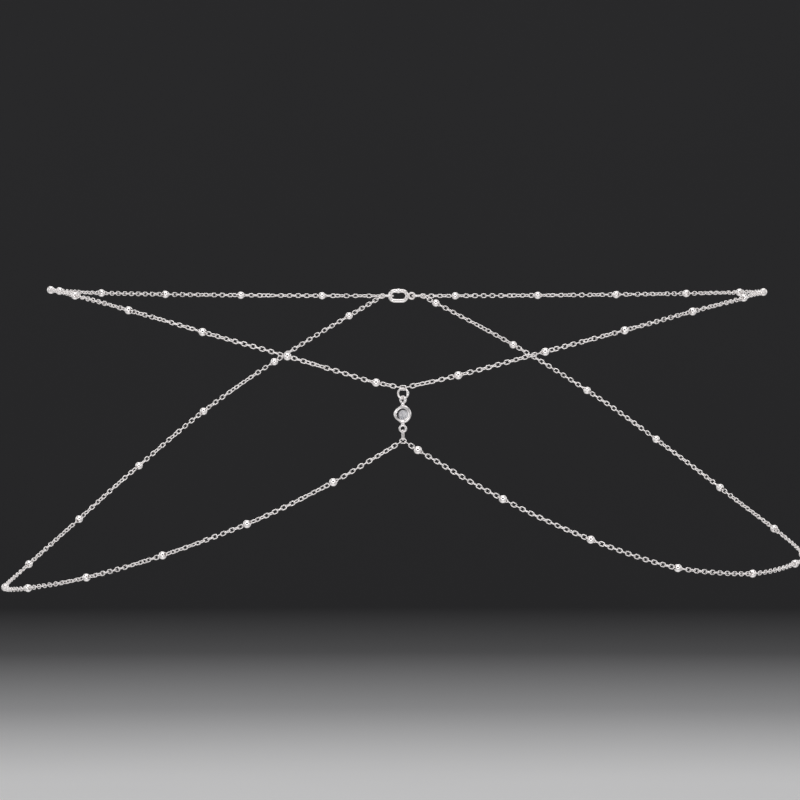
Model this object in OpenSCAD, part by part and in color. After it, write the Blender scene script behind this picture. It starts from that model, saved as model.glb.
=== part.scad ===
// Two-strand waist chain, in the form that it takes when worn.
// The upper strand dips to a shallow V in front, the lower one hangs over the hips
// like a garland, a bezel-set crystal joins them in front, and one clasp closes both.
// X points right, Y to the back and Z up. The origin is in the middle of the waist
// hollow, straight behind the crystal and level with the upper strand at the sides.

/* [Waist and hips] */
// Width of the upper strand's loop at the sides of the waist
waist_w = 279; // [250:1:320]
// Width of the loop at the level of the lower strand's lowest point
hip_w = 314; // [290:1:350]
// From the origin forward to both strands
front_depth = 105.5; // [90:0.5:125]
// From the origin back to the clasp
back_depth = 102.5; // [90:0.5:125]
// From the origin back to the hips, at the lower strand's lowest level
hip_back_depth = 112; // [100:0.5:135]
// How far the body's middle lies to the right of the crystal
body_shift = 1.5; // [0:0.1:5]
// Drop of the upper strand at centre front below its level at the sides
front_dip = 38.5; // [25:0.1:50]
// Drop of the lower strand's lowest point below the same level
hip_drop = 116; // [100:1:150]
// How much fuller than an ellipse the front is, upper strand, left side
upper_left_full = 0.08; // [-0.2:0.01:0.3]
// How much fuller than an ellipse the front is, upper strand, right side
upper_right_full = -0.16; // [-0.2:0.01:0.3]
// How much fuller than an ellipse the front is, lower strand, left side
lower_left_full = -0.03; // [-0.2:0.01:0.3]
// How much fuller than an ellipse the front is, lower strand, right side
lower_right_full = 0.25; // [-0.2:0.01:0.3]

/* [Cable chain] */
// Thickness of the plain tube that stands for the small links
chain_d = 1.2; // [1:0.05:1.6]
// Outer length of one link
link_len = 2.68; // [2.3:0.02:3]
// Outer width of one link
link_w = 1.9; // [1.7:0.05:2.3]
// Thickness of a link's wire
link_wire = 0.4; // [0.35:0.01:0.45]
// Links from one bead to the next on the upper strand
upper_run = 17; // [10:1:25]
// Links from one bead to the next on the lower strand
lower_run = 18; // [10:1:25]
// Links from the centre to the first bead, upper strand, left side
upper_left_lead = 4; // [2:1:17]
// Links from the centre to the first bead, upper strand, right side
upper_right_lead = 10; // [2:1:17]
// Links from the centre to the first bead, lower strand, left side
lower_left_lead = 15; // [2:1:18]
// Links from the centre to the first bead, lower strand, right side
lower_right_lead = 2; // [2:1:18]

/* [Ball beads] */
// Diameter of a bead
bead_d = 3; // [2.6:0.05:4]
// From a bead's centre to the middle of the next link
bead_reach = 2.75; // [2.4:0.05:3.5]
// Space round the chain inside a bead's bore
bead_gap = 0.12; // [0.1:0.01:0.3]

/* [Links at centre front] */
// Outer length of the upper strand's middle link, which carries the ring
carrier_len = 3.2; // [3:0.05:3.6]
// Outer height of the same link
carrier_h = 2; // [1.9:0.05:2.4]
// Turn of the same link about the vertical, right end forward
carrier_turn = 27; // [24:1:32]
// Outer diameter of the jump ring
ring_d = 4.5; // [4.4:0.1:6]
// Thickness of the jump ring's wire
ring_wire = 0.7; // [0.6:0.01:0.75]
// Turn of the jump ring about the vertical, right side back
ring_turn = 17; // [14:1:22]
// Slit where the jump ring's wire ends meet
ring_slit = 0.08; // [0.04:0.01:0.15]
// Outer length of the slim link under the setting
drop_len = 4.1; // [3.4:0.1:5]
// Outer width of the same link
drop_w = 2; // [1.9:0.05:2.4]
// Turn of the same link about the vertical, from facing forward
drop_turn = 66; // [60:1:90]
// Outer length of the lower strand's middle link
lower_len = 2.7; // [2.6:0.05:3.2]
// Outer height of the same link
lower_h = 2; // [1.9:0.05:2.4]

/* [Crystal and its setting] */
// Diameter of the stone's girdle
stone_d = 4.8; // [4:0.1:6]
// Height of the stone above its girdle
crown_h = 0.75; // [0.6:0.01:0.9]
// Depth of the stone below its girdle
pavilion_h = 2; // [1.6:0.05:2.4]
// Width of the stone's flat table
table_d = 2.8; // [2.2:0.05:3.2]
// Thickness of the cup's wall beside the girdle
cup_wall = 0.75; // [0.6:0.05:1.2]
// Thickness of the cup's floor
cup_floor = 0.4; // [0.3:0.05:0.8]
// How far the rim turns in over the stone
rim_over = 0.3; // [0.2:0.02:0.4]
// Turn of the cup about the vertical, right side forward
cup_turn = 15; // [0:1:18]
// Outer diameter of the soldered loops
loop_d = 3.1; // [2.9:0.05:3.6]
// Thickness of the loops' wire
loop_wire = 0.75; // [0.6:0.01:0.8]
// Length of the neck between a loop and the cup
neck_len = 0.6; // [0.3:0.05:1]
// Thickness of the neck
neck_d = 1.2; // [0.6:0.05:1.4]
// Turn of the upper loop about the vertical, right side forward
loop_turn = 40; // [38:1:48]

/* [Clasp and end rings] */
// Outer diameter of the two end rings
end_ring_d = 5; // [4.6:0.1:6]
// Thickness of their wire
end_ring_wire = 0.8; // [0.7:0.01:0.85]
// Outer length of the clasp's closed hook
hook_len = 8.6; // [7.5:0.1:12]
// Outer height of the hook
hook_h = 5.6; // [5.4:0.1:7]
// Thickness of the hook's round section
hook_wire = 1.5; // [1.2:0.05:1.7]
// Diameter of the thumb nub on the hook
nub_d = 1.95; // [1.8:0.05:2.4]
// Outer diameter of the clasp's eye
eye_d = 3.2; // [3.1:0.05:4]
// Thickness of the eye's wire
eye_wire = 0.8; // [0.6:0.02:0.8]

/* [Fits] */
// Gap between metal pieces that hang in each other
metal_gap = 0.06; // [0.03:0.01:0.1]
// Gap between the stone and its cup
stone_gap = 0.05; // [0.03:0.01:0.1]
// Gap between a strand's end and what holds it
strand_gap = 0.15; // [0.1:0.01:0.25]

/* [Hidden] */

// Columns of the route tables
TURN = 0; // share of the half turn from centre front to the clasp, in degrees of 180
LEFT = 1;
RIGHT = 2;

// Upper strand: its level as a share of front_dip, on each side
UPPER_ROUTE = [
    [0, 1.000, 1.000],
    [5, 0.935, 0.930],
    [10, 0.840, 0.850],
    [20, 0.660, 0.680],
    [30, 0.500, 0.525],
    [40, 0.350, 0.385],
    [50, 0.225, 0.260],
    [60, 0.125, 0.165],
    [75, 0.030, 0.060],
    [90, 0.000, 0.020],
    [120, 0.000, 0.000],
    [180, 0.000, 0.000]];

// Lower strand in front: its level as a share of the way from its middle to hip_drop
LOWER_FRONT = [
    [0, 0.000, 0.000],
    [5, 0.130, 0.135],
    [10, 0.260, 0.270],
    [20, 0.480, 0.500],
    [30, 0.650, 0.680],
    [40, 0.785, 0.810],
    [50, 0.885, 0.860],
    [60, 0.950, 0.870],
    [75, 1.000, 0.825]];

// Lower strand at the sides and back: its level as a share of hip_drop
LOWER_BACK = [
    [90, 1.000, 0.895],
    [105, 0.950, 0.840],
    [120, 0.820, 0.730],
    [135, 0.620, 0.560],
    [150, 0.390, 0.360],
    [165, 0.185, 0.170],
    [180, 0.000, 0.000]];

// Steps in which a half strand's length is measured, and rings of its tube per bead
ROUTE_STEPS = 360;
RINGS_PER_BEAD = 6;
TUBE_SIDES = 8;

// Round faces start at this angle, which keeps their seams away from where pieces join
SEAM = 35;

// Shape of the cup: shares of its outer width, of its depth and of the stone's height
BACK_WIDTH = 0.72;
CORNER_WIDTH = 0.8;
CORNER_DEPTH = 0.86;
RIM_LEVEL = 0.45;

SILVER = [0.80, 0.81, 0.83];
CRYSTAL = [0.86, 0.90, 0.95, 0.6];

// Middle-line radii of the rings and loops
ring_r = (ring_d - ring_wire) / 2;
loop_r = (loop_d - loop_wire) / 2;
end_ring_r = (end_ring_d - end_ring_wire) / 2;
eye_r = (eye_d - eye_wire) / 2;

// Outer size of the cup, and the half width of the stone that its rim leaves open
stone_r = stone_d / 2;
cup_r = stone_r + stone_gap + cup_wall;
window_r = stone_r - rim_over;

// Levels of the pieces at centre front, each hanging in the one above
carrier_z = -front_dip;
ring_z = carrier_z - carrier_h / 2 + link_wire + metal_gap + ring_wire / 2 - ring_r;
top_loop_z = ring_z - ring_r + ring_wire / 2 + metal_gap + loop_wire / 2 - loop_r;
cup_z = top_loop_z - loop_d / 2 - neck_len - cup_r;
bottom_loop_z = cup_z - cup_r - neck_len - loop_d / 2;
drop_top_z = bottom_loop_z - loop_r + loop_wire / 2 + metal_gap + link_wire;
lower_z = drop_top_z - drop_len + link_wire + metal_gap + link_wire - lower_h / 2;

// Distance between neighbouring links, and from a middle link to the next one
link_pitch = link_len - 2 * link_wire - metal_gap;
carrier_reach = carrier_len / 2 * cos(carrier_turn) + link_pitch / 2 - link_wire;
lower_reach = lower_len / 2 + link_pitch / 2 - link_wire;

// The strands lie beside each other on the end rings, each this far from the middle
strand_spread = (link_w + strand_gap) / 2;
spread_angle = asin(strand_spread / end_ring_r);

// The end rings pull at the hook's left end and the eye's right side, both seat_x from X = 0
hook_seat = hook_wire + metal_gap + end_ring_wire / 2;
eye_seat = eye_d / 2 - eye_wire - metal_gap - end_ring_wire / 2;
seat_x = (hook_len - hook_seat + eye_r + eye_seat) / 2;
hook_x = hook_len / 2 - hook_seat - seat_x;
end_ring_x = seat_x + end_ring_r;
strand_end_x = end_ring_x + end_ring_r * cos(spread_angle);
end_clear = end_ring_d / 2 - end_ring_r * cos(spread_angle) + strand_gap;
clasp_y = back_depth * cos(asin(strand_end_x / (waist_w / 2)));

// Rows [turn, level] of a half strand
function upper_levels(side) = [for (r = UPPER_ROUTE) [r[TURN], -front_dip * r[side]]];
function lower_levels(side) = concat(
    [for (r = LOWER_FRONT) [r[TURN], lower_z - r[side] * (hip_drop + lower_z)]],
    [for (r = LOWER_BACK) [r[TURN], -hip_drop * r[side]]]);

// Smooth curve through the rows [turn, level] of a table
function slope_between(rows, i, j) = (rows[j][1] - rows[i][1]) / (rows[j][0] - rows[i][0]);
function slope_at(rows, i) = slope_between(rows, max(i - 1, 0), min(i + 1, len(rows) - 1));
function row_before(rows, turn, i = 0) =
    i + 2 >= len(rows) || turn < rows[i + 1][0] ? i : row_before(rows, turn, i + 1);
function level_at(rows, turn) =
    let (i = row_before(rows, turn), step = rows[i + 1][0] - rows[i][0])
    let (t = (turn - rows[i][0]) / step, a = slope_at(rows, i) * step, b = slope_at(rows, i + 1) * step)
    let (rise = rows[i + 1][1] - rows[i][1])
    rows[i][1] + a * t + (3 * rise - 2 * a - b) * t * t + (a + b - 2 * rise) * t * t * t;

// Point of a half strand at a turn of 0 at centre front to 180 at the end ring
function route_point(rows, side, spread, full, turn) =
    let (sign = side == LEFT ? -1 : 1, z = level_at(rows, turn), down = -z / hip_drop)
    let (half_w = (waist_w + (hip_w - waist_w) * down) / 2 + sign * body_shift)
    let (behind = back_depth + (hip_back_depth - back_depth) * down + spread)
    let (last = 180 - asin(strand_end_x / (waist_w / 2 + sign * body_shift)))
    let (angle = turn * last / 180, before = front_depth * (1 + full * pow(sin(angle), 2)))
    [sign * half_w * sin(angle), -(angle < 90 ? before : behind) * cos(angle), z];

// The half strand as evenly turned points, and the length run up to each of them
function route(rows, side, spread, full) =
    [for (i = [0 : ROUTE_STEPS]) route_point(rows, side, spread, full, 180 * i / ROUTE_STEPS)];
function run_up(points) =
    [for (i = 0, s = 0; i < len(points);
        s = s + (i + 1 < len(points) ? norm(points[i + 1] - points[i]) : 0), i = i + 1) s];
function last_of(list) = list[len(list) - 1];

// Point on the half strand at each of the given lengths
function points_at(points, stations) =
    let (lengths = run_up(points))
    let (by_length = [for (axis = [0 : 2]) [for (i = [0 : len(points) - 1]) [lengths[i], points[i][axis]]]])
    [for (s = stations) [for (axis = [0 : 2]) lookup(s, by_length[axis])]];

// Lengths at which the beads sit: after the lead links, then once every run of links
function bead_stations(total, reach, lead, run) =
    let (first = reach + (lead - 1) * link_pitch + bead_reach, step = bead_step(run))
    [for (s = first; s < total - bead_reach - end_ring_wire; s = s + step) s];
function bead_step(run) = (run - 1) * link_pitch + 2 * bead_reach;

// Tube along a half strand, with rings at the beads and evenly between them
module chain_tube(points, start, beads) {
    total = last_of(run_up(points)) - end_clear;
    step = (beads[1] - beads[0]) / RINGS_PER_BEAD;
    before = [for (s = beads[0]; s > start + step / 2; s = s - step) s];
    after = [for (s = beads[0] + step; s < total - step / 2; s = s + step) s];
    stations = concat([start], [for (i = [len(before) - 1 : -1 : 0]) before[i]], after, [total]);
    centers = points_at(points, stations);
    last = len(centers) - 1;
    rings = [for (i = [0 : last])
        let (along = centers[min(i + 1, last)] - centers[max(i - 1, 0)], ahead = along / norm(along))
        let (across = cross(ahead, [0, 0, 1]) / norm(cross(ahead, [0, 0, 1])), up = cross(across, ahead))
        [for (j = [0 : TUBE_SIDES - 1]) let (a = 360 * (j + 0.5) / TUBE_SIDES)
            centers[i] + chain_d / 2 * (cos(a) * across + sin(a) * up)]];
    walls = [for (i = [0 : last - 1], j = [0 : TUBE_SIDES - 1])
        let (a = i * TUBE_SIDES, k = (j + 1) % TUBE_SIDES)
        [a + j, a + k, a + TUBE_SIDES + k, a + TUBE_SIDES + j]];
    ends = [
        [for (j = [TUBE_SIDES - 1 : -1 : 0]) j],
        [for (j = [0 : TUBE_SIDES - 1]) last * TUBE_SIDES + j]];
    polyhedron(points = [for (ring = rings) each ring], faces = concat(walls, ends));
}

// Drilled balls along a half strand, each turned to the strand
module drilled_beads(points, beads) {
    centers = points_at(points, beads);
    ahead = points_at(points, [for (s = beads) s + bead_d / 2]);
    for (i = [0 : len(beads) - 1]) {
        along = ahead[i] - centers[i];
        flat = norm([along[0], along[1]]);
        translate(centers[i])
            rotate([0, atan2(flat, along[2]), atan2(along[1], along[0])])
                difference() {
                    sphere(d = bead_d, $fn = 48);
                    cylinder(d = chain_d + 2 * bead_gap, h = 2 * bead_d, center = true, $fn = 32);
                }
    }
}

// Oval link of round wire in the XZ plane, its length along X
module oval_link(length, height, wire) {
    bend_r = (height - wire) / 2;
    straight = length - height;
    rotate([90, 0, 0])
        for (end = [0, 1])
            rotate(end * 180) {
                translate([straight / 2, 0, 0])
                    rotate(-90)
                        rotate_extrude(angle = 180, $fn = 48)
                            translate([bend_r, 0])
                                rotate(SEAM)
                                    circle(d = wire, $fn = 24);
                translate([0, bend_r, 0])
                    rotate([0, 90, 0])
                        cylinder(d = wire, h = straight, center = true, $fn = 24);
            }
}

// Round ring of round wire in the XZ plane, with an optional slit at its right
module wire_ring(middle_r, wire, slit = 0) {
    open = asin(slit / middle_r);
    rotate([90, 0, 0])
        rotate(open / 2)
            rotate_extrude(angle = 360 - open, $fn = 64)
                translate([middle_r, 0])
                    rotate(SEAM)
                        circle(d = wire, $fn = 32);
}

upper_left = route(upper_levels(LEFT), LEFT, strand_spread, upper_left_full);
upper_right = route(upper_levels(RIGHT), RIGHT, strand_spread, upper_right_full);
lower_left = route(lower_levels(LEFT), LEFT, -strand_spread, lower_left_full);
lower_right = route(lower_levels(RIGHT), RIGHT, -strand_spread, lower_right_full);

// Where the tubes start, clear of the middle links
upper_start = carrier_len / 2 * cos(carrier_turn) + strand_gap;
lower_start = lower_len / 2 + strand_gap;

function upper_beads(points, lead) =
    bead_stations(last_of(run_up(points)), carrier_reach, lead, upper_run);
function lower_beads(points, lead) =
    bead_stations(last_of(run_up(points)), lower_reach, lead, lower_run);

module upper_chain_left() {
    color(SILVER) chain_tube(upper_left, upper_start, upper_beads(upper_left, upper_left_lead));
}

module upper_chain_right() {
    color(SILVER) chain_tube(upper_right, upper_start, upper_beads(upper_right, upper_right_lead));
}

module lower_chain_left() {
    color(SILVER) chain_tube(lower_left, lower_start, lower_beads(lower_left, lower_left_lead));
}

module lower_chain_right() {
    color(SILVER) chain_tube(lower_right, lower_start, lower_beads(lower_right, lower_right_lead));
}

module upper_beads_left() {
    color(SILVER) drilled_beads(upper_left, upper_beads(upper_left, upper_left_lead));
}

module upper_beads_right() {
    color(SILVER) drilled_beads(upper_right, upper_beads(upper_right, upper_right_lead));
}

module lower_beads_left() {
    color(SILVER) drilled_beads(lower_left, lower_beads(lower_left, lower_left_lead));
}

module lower_beads_right() {
    color(SILVER) drilled_beads(lower_right, lower_beads(lower_right, lower_right_lead));
}

// Puts a piece at centre front, at its level and turned about the vertical
module at_front(z, turn) {
    translate([0, -front_depth, z])
        rotate(turn)
            children();
}

module upper_center_link() {
    color(SILVER)
        at_front(carrier_z, -carrier_turn)
            oval_link(carrier_len, carrier_h, link_wire);
}

module center_jump_ring() {
    color(SILVER)
        at_front(ring_z, ring_turn)
            wire_ring(ring_r, ring_wire, ring_slit);
}

// Section of the cup from its axis outwards: radius, height in front of the girdle
function cup_section() =
    let (back = -pavilion_h - stone_gap - cup_floor, seat_r = stone_r + stone_gap)
    let (rim_r = cup_wall / 2, rim_x = cup_r - rim_r, rim_z = RIM_LEVEL * crown_h)
    let (crown_slope = crown_h / (stone_r - table_d / 2))
    concat(
        [[0, back], [cup_r * BACK_WIDTH, back], [cup_r * CORNER_WIDTH, back * CORNER_DEPTH], [cup_r, 0]],
        [for (a = [0 : 15 : 150]) [rim_x + rim_r * cos(a), rim_z + rim_r * sin(a)]],
        [[window_r, crown_slope * rim_over + 2 * stone_gap], [seat_r, 2 * stone_gap],
            [seat_r, -2 * stone_gap], [stone_gap * 2, back + cup_floor], [0, back + cup_floor]]);

module soldered_loop(z, turn, toward) {
    translate([0, 0, z])
        rotate(turn)
            wire_ring(loop_r, loop_wire);
    neck = loop_wire / 2 + neck_len + cup_wall / 2;
    translate([0, 0, z + toward * (loop_r + neck / 2)])
        rotate(SEAM)
            cylinder(d = neck_d, h = neck, center = true, $fn = 32);
}

module crystal_setting() {
    color(SILVER)
        at_front(cup_z, -cup_turn) {
            rotate([90, 0, 0])
                rotate(SEAM)
                    rotate_extrude($fn = 72)
                        polygon(cup_section());
            soldered_loop(top_loop_z - cup_z, cup_turn - loop_turn, -1);
            soldered_loop(bottom_loop_z - cup_z, 0, 1);
        }
}

// Round brilliant: an eight-sided table, kites, stars and halves down to a point
module crystal_stone() {
    table_r = table_d / 2;
    half = 22.5;
    shoulder_r = table_r + (stone_r - table_r) * 0.5;
    shoulder_h = crown_h * (stone_r - shoulder_r * cos(half)) / (stone_r - table_r);
    belly_r = stone_r * 0.4;
    belly_h = -pavilion_h * (stone_r - belly_r * cos(half)) / stone_r;
    girdle = 0.06;
    points = concat(
        [for (i = [0 : 7]) [table_r * cos(45 * i), table_r * sin(45 * i), crown_h]],
        [for (i = [0 : 7]) let (a = 45 * i + half) [shoulder_r * cos(a), shoulder_r * sin(a), shoulder_h]],
        [for (i = [0 : 15]) let (a = half * i) [stone_r * cos(a), stone_r * sin(a), girdle / 2]],
        [for (i = [0 : 15]) let (a = half * i) [stone_r * cos(a), stone_r * sin(a), -girdle / 2]],
        [for (i = [0 : 7]) let (a = 45 * i + half) [belly_r * cos(a), belly_r * sin(a), belly_h]],
        [[0, 0, -pavilion_h]]);
    // First corner of each ring of corners
    shoulder = 8;
    top = 16;
    under = 32;
    belly = 48;
    point = 56;
    color(CRYSTAL)
        at_front(cup_z, -cup_turn)
            rotate([90, 0, 0])
                hull()
                    polyhedron(points = points, faces = concat(
                        [[for (i = [7 : -1 : 0]) i]],
                        [for (i = [0 : 7]) [i, (i + 1) % 8, shoulder + i]],
                        [for (i = [0 : 7]) [i, shoulder + i, top + 2 * i, shoulder + (i + 7) % 8]],
                        [for (i = [0 : 7]) [shoulder + i, top + 2 * i + 1, top + 2 * i]],
                        [for (i = [0 : 7]) [shoulder + i, top + (2 * i + 2) % 16, top + 2 * i + 1]],
                        [for (i = [0 : 15]) [top + i, top + (i + 1) % 16, under + (i + 1) % 16, under + i]],
                        [for (i = [0 : 7]) [under + 2 * i, under + 2 * i + 1, belly + i]],
                        [for (i = [0 : 7]) [under + 2 * i + 1, under + (2 * i + 2) % 16, belly + i]],
                        [for (i = [0 : 7]) [under + 2 * i, belly + i, point, belly + (i + 7) % 8]]));
}

module drop_link() {
    color(SILVER)
        at_front(drop_top_z - drop_len / 2, drop_turn)
            rotate([0, 90, 0])
                oval_link(drop_len, drop_w, link_wire);
}

module lower_center_link() {
    color(SILVER)
        at_front(lower_z, 0)
            oval_link(lower_len, lower_h, link_wire);
}

module end_ring(x) {
    color(SILVER)
        translate([x, clasp_y, 0])
            rotate([90, 0, 0])
                wire_ring(end_ring_r, end_ring_wire);
}

module left_end_ring() end_ring(-end_ring_x);

module right_end_ring() end_ring(end_ring_x);

// Closed hook on the left, eye on the right and a thumb nub on top, all one piece
module clasp() {
    color(SILVER)
        translate([0, clasp_y, 0]) {
            translate([hook_x, 0, 0])
                oval_link(hook_len, hook_h, hook_wire);
            translate([hook_x, 0, (hook_h - hook_wire) / 2])
                rotate([0, 90, 0])
                    sphere(d = nub_d, $fn = 32);
            translate([seat_x - eye_seat, 0, 0])
                wire_ring(eye_r, eye_wire);
        }
}

upper_chain_left();
upper_chain_right();
upper_beads_left();
upper_beads_right();
lower_chain_left();
lower_chain_right();
lower_beads_left();
lower_beads_right();
upper_center_link();
center_jump_ring();
crystal_setting();
crystal_stone();
drop_link();
lower_center_link();
left_end_ring();
right_end_ring();
clasp();
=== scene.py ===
"""Looks of a two-strand waist chain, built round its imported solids.

Lengths are in metres, X points right, Y to the back and Z up. The links and beads follow
the same routes as the solids, and every other piece sits where its own solid is.
"""

import math

import bmesh
import bpy
from mathutils import Matrix, Vector


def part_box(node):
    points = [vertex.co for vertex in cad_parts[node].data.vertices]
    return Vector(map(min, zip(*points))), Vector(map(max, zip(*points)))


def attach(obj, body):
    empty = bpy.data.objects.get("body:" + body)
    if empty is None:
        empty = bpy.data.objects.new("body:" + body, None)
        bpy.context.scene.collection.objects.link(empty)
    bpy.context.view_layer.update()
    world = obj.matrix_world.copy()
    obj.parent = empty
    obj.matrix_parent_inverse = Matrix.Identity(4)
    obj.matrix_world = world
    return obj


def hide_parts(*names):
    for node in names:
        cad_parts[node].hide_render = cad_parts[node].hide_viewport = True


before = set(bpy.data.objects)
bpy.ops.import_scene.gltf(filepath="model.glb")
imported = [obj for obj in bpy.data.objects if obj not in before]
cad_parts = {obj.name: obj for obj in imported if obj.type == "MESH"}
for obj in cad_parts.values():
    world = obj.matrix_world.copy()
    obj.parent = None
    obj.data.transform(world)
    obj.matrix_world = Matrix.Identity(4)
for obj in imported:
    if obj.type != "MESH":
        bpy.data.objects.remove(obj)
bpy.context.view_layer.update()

MM = 0.001
QUARTER = math.pi / 2

# Waist and hips
WAIST_W = 279 * MM
HIP_W = 314 * MM
FRONT_DEPTH = 105.5 * MM
BACK_DEPTH = 102.5 * MM
HIP_BACK_DEPTH = 112 * MM
BODY_SHIFT = 1.5 * MM
FRONT_DIP = 38.5 * MM
HIP_DROP = 116 * MM

# How much fuller than an ellipse the front of each half strand is
UPPER_LEFT_FULL = 0.08
UPPER_RIGHT_FULL = -0.16
LOWER_LEFT_FULL = -0.03
LOWER_RIGHT_FULL = 0.25

# Cable chain: outer size of a link, its wire, and the spacing that the solids keep
LINK_LEN = 2.68 * MM
LINK_W = 1.9 * MM
LINK_WIRE = 0.4 * MM
LINK_PITCH = 1.82 * MM
MAX_PITCH = 1.87 * MM
UPPER_RUN = 17
LOWER_RUN = 18
UPPER_LEFT_LEAD = 4
UPPER_RIGHT_LEAD = 10
LOWER_LEFT_LEAD = 15
LOWER_RIGHT_LEAD = 2
PLAY = 0.03 * MM  # room between two wires that hold each other
FIRST_PLAY = 0.03 * MM  # extra room where a strand's first link holds the middle link
LINK_BENDS, LINK_SIDES = 12, 6  # points along its line, and round its wire
LINK_TURN_PLAY = math.radians(14)  # how far each link turns by chance, either way
TWIST_LENGTH = 26 * MM  # length over which a strand's slow twist changes
TWIST_EASE = 6 * MM  # length over which the turns by chance come in, from either end
UNTWIST = 60 * MM  # how much of a strand gives the quarter turn that its last link may need

# Ball beads, and the narrow link that runs through each
BEAD_D = 3 * MM
BEAD_REACH = 2.75 * MM
BEAD_BORE_D = 1.44 * MM
BEAD_LIP = 0.09 * MM
BALL_LINK_W = 1.3 * MM
BALL_LINK_BENDS = 28
BALL_LINK_TWIST = 1.6  # how much sooner than at its ends its quarter twist is done
BEAD_ROWS, BEAD_SIDES = 16, 32
LIP_ROWS = [(0.35, 0), (0, 0.7)]  # shares of the lip: how far off the bore, how far in from the end

# Pieces at centre front
CARRIER_LEN = 3.2 * MM
CARRIER_H = 2 * MM
CARRIER_TURN = math.radians(27)
RING_D = 4.5 * MM
RING_WIRE = 0.7 * MM
RING_TURN = math.radians(17)
RING_SLIT = 0.08 * MM
RING_BENDS, RING_SIDES = 72, 16
KNUCKLE, KNUCKLE_SPAN = 0.15 * MM, 0.35  # swelling of the wire at the slit, and its reach in radians
DROP_LEN = 4.1 * MM
DROP_W = 2 * MM
DROP_TURN = math.radians(66)
LOWER_LEN = 2.7 * MM
LOWER_H = 2 * MM
PLAIN_BENDS, PLAIN_SIDES = 36, 14  # of the two middle links and the drop link

# Crystal and its setting
STONE_R = 2.4 * MM
TABLE_R = 1.4 * MM
CROWN_H = 0.75 * MM
PAVILION_H = 2 * MM
STONE_GAP = 0.05 * MM
CUP_WALL = 0.75 * MM
CUP_FLOOR = 0.4 * MM
RIM_OVER = 0.3 * MM
CUP_TURN = math.radians(15)
CUP_SIDES = 96
CUP_BACK = [(0.55, 0), (0.69, 0.05 * MM), (0.77, 0.24 * MM)]  # share of the radius, height off the back
CUP_WALL_ROWS = (0, 0.3, 0.6, 1)  # how far up the wall they are
WALL_FROM, WALL_LOW = 0.80, 0.82  # where the wall starts, as shares of the radius and of the depth
RIM_AT = 0.45  # height of the rim's middle as a share of the crown's
RIM_TURNS = range(12, 160, 12)  # where on the round of the rim its rows are, in degrees
LIP_IN, LIP_UP = 0.03 * MM, 0.22 * MM  # where the rim's round ends, from the window and from the crown
CUP_WAVES = [(3, -0.13 * MM, 0), (4, 0.07 * MM, 0), (7, 0.02 * MM, QUARTER)]  # bumps round, height, start
LOOP_D = 3.1 * MM
LOOP_WIRE = 0.75 * MM
LOOP_TURN = math.radians(40)
LOOP_BENDS, LOOP_SIDES = 48, 16
LUMP_AT, LUMP_SPAN = -0.3, 0.7  # where the solder lump on a loop is and how far it reaches, in radians
TOP_LUMP = 0.14 * MM
LOW_LUMP = 0.05 * MM
NECK_LEN = 0.6 * MM
NECK_D = 1.2 * MM
NECK_FLAT = 0.8  # depth of the solder as a share of its width
NECK_TOP, NECK_FOOT = 0.10 * MM, 0.75 * MM  # how much wider it is at the loop and over the cup
NECK_SUNK = 0.3  # how far it goes into the cup's wall, as a share of the wall
NECK_STEPS, NECK_SIDES = 12, 24

# Clasp and end rings
END_RING_D = 5 * MM
END_RING_WIRE = 0.8 * MM
HOOK_LEN = 8.6 * MM
HOOK_H = 5.6 * MM
HOOK_WIRE = 1.5 * MM
NUB_D = 1.95 * MM
EYE_D = 3.2 * MM
EYE_WIRE = 0.8 * MM
END_RING_BENDS, END_RING_SIDES = 56, 14
HOOK_BENDS, HOOK_SIDES = 56, 18
EYE_BENDS, EYE_SIDES = 40, 14
NUB_ROWS, NUB_SIDES = 12, 24
STRAND_END_X = 8.14 * MM
STRAND_SPREAD = 1.025 * MM

# Rows of the route tables: turn of 180 degrees from centre front to the clasp, left share, right share
LEFT, RIGHT = 1, 2
UPPER_ROUTE = [
    (0, 1.000, 1.000), (5, 0.935, 0.930), (10, 0.840, 0.850), (20, 0.660, 0.680),
    (30, 0.500, 0.525), (40, 0.350, 0.385), (50, 0.225, 0.260), (60, 0.125, 0.165),
    (75, 0.030, 0.060), (90, 0.000, 0.020), (120, 0.000, 0.000), (180, 0.000, 0.000)]
LOWER_FRONT = [
    (0, 0.000, 0.000), (5, 0.130, 0.135), (10, 0.260, 0.270), (20, 0.480, 0.500),
    (30, 0.650, 0.680), (40, 0.785, 0.810), (50, 0.885, 0.860), (60, 0.950, 0.870),
    (75, 1.000, 0.825)]
LOWER_BACK = [
    (90, 1.000, 0.895), (105, 0.950, 0.840), (120, 0.820, 0.730), (135, 0.620, 0.560),
    (150, 0.390, 0.360), (165, 0.185, 0.170), (180, 0.000, 0.000)]
ROUTE_STEPS = 360

# Angles from which an edge stays sharp, on shaped pieces and on plain wire
SHARP, WIRE_SHARP = math.radians(50), math.radians(60)


def middle(node):
    """Middle of a solid's box."""
    low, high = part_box(node)
    return (low + high) / 2


# Nodes: numbers as expressions, and one way to add any node

def pick(sockets, key):
    """Socket by its number, or the first one in use with that name."""
    if isinstance(key, int):
        return sockets[key]
    return next(s for s in sockets if s.name == key and s.enabled)


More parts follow.
